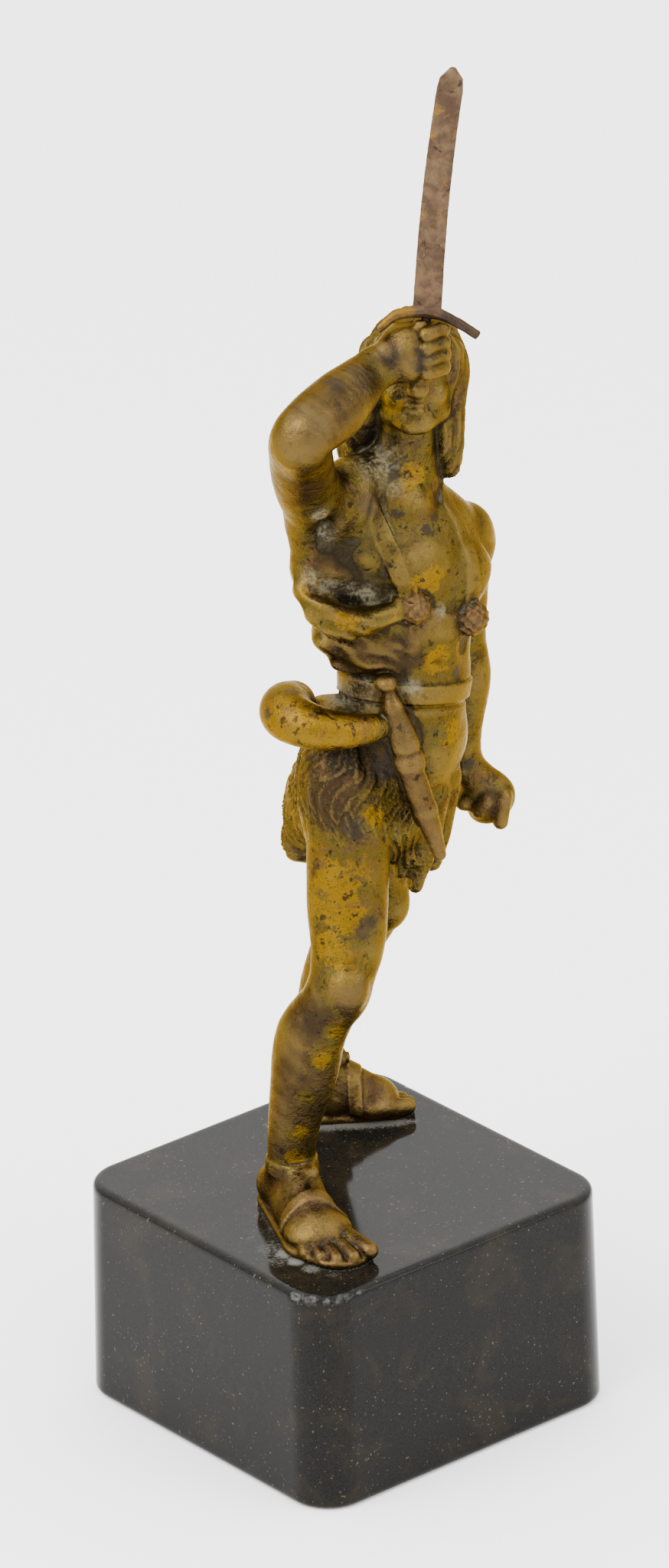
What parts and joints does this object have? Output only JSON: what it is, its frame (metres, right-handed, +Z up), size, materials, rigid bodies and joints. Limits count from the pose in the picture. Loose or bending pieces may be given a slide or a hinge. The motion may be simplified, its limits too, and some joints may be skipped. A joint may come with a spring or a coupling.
{
  "type": "bronze huntsman statuette",
  "caption": "small cast bronze statuette of a young huntsman with a raised sword, horn, dagger and fur loincloth, striding on a polished stone block",
  "frame": {"origin": "middle of the stone block's underside", "axes": "+Z up; X and Y along the square block's sides; the figure strides and looks mostly toward -Y"},
  "size_m": [0.0876, 0.081, 0.3026],
  "materials": {
    "golden_brown_bronze": "cast bronze, golden ochre patina worn to brown, dusty in the hollows",
    "red_brown_bronze": "cast bronze, reddish brown worn patina",
    "black_green_granite": "polished black green granite with fine speckles"
  },
  "bodies": {
    "root": {"bronze_figure": "golden_brown_bronze", "sword": "red_brown_bronze", "stone_block": "black_green_granite"}
  },
  "joints": []
}
